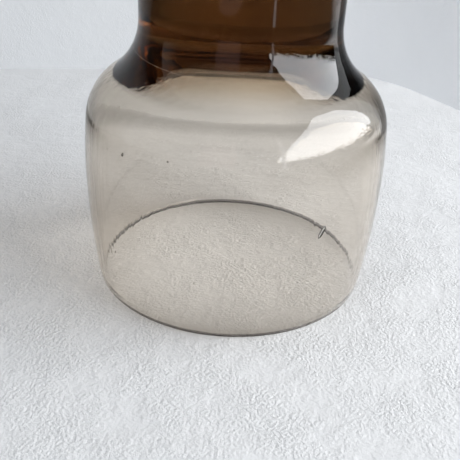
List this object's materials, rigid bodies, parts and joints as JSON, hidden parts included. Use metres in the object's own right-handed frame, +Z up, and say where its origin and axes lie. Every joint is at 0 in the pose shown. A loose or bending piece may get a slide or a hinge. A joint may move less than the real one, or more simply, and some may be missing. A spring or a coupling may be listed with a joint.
{
  "type": "stoppered bell jar",
  "caption": "Open-bottomed smoke-brown glass bell with a wide straight neck, closed by a solid stopper of the same glass in a tapered ground joint.",
  "frame": {"origin": "centre of the level rim that the jar stands on", "axes": "+Z up along the axis of the glass; both pieces are round about it, so +X and +Y are any two directions across"},
  "size_m": [0.1058, 0.1058, 0.135],
  "materials": {
    "bell_glass": "clear polished smoke-brown glass",
    "stopper_glass": "clear polished smoke-brown glass, solid"
  },
  "bodies": {
    "bell": {"bell_jar": "bell_glass"},
    "stopper": {"stopper": "stopper_glass"}
  },
  "joints": [
    {"name": "stopper_lift", "type": "slide", "parent": "bell", "child": "stopper", "axis": [0, 0, 1], "range_m": [0, 0.06]}
  ]
}
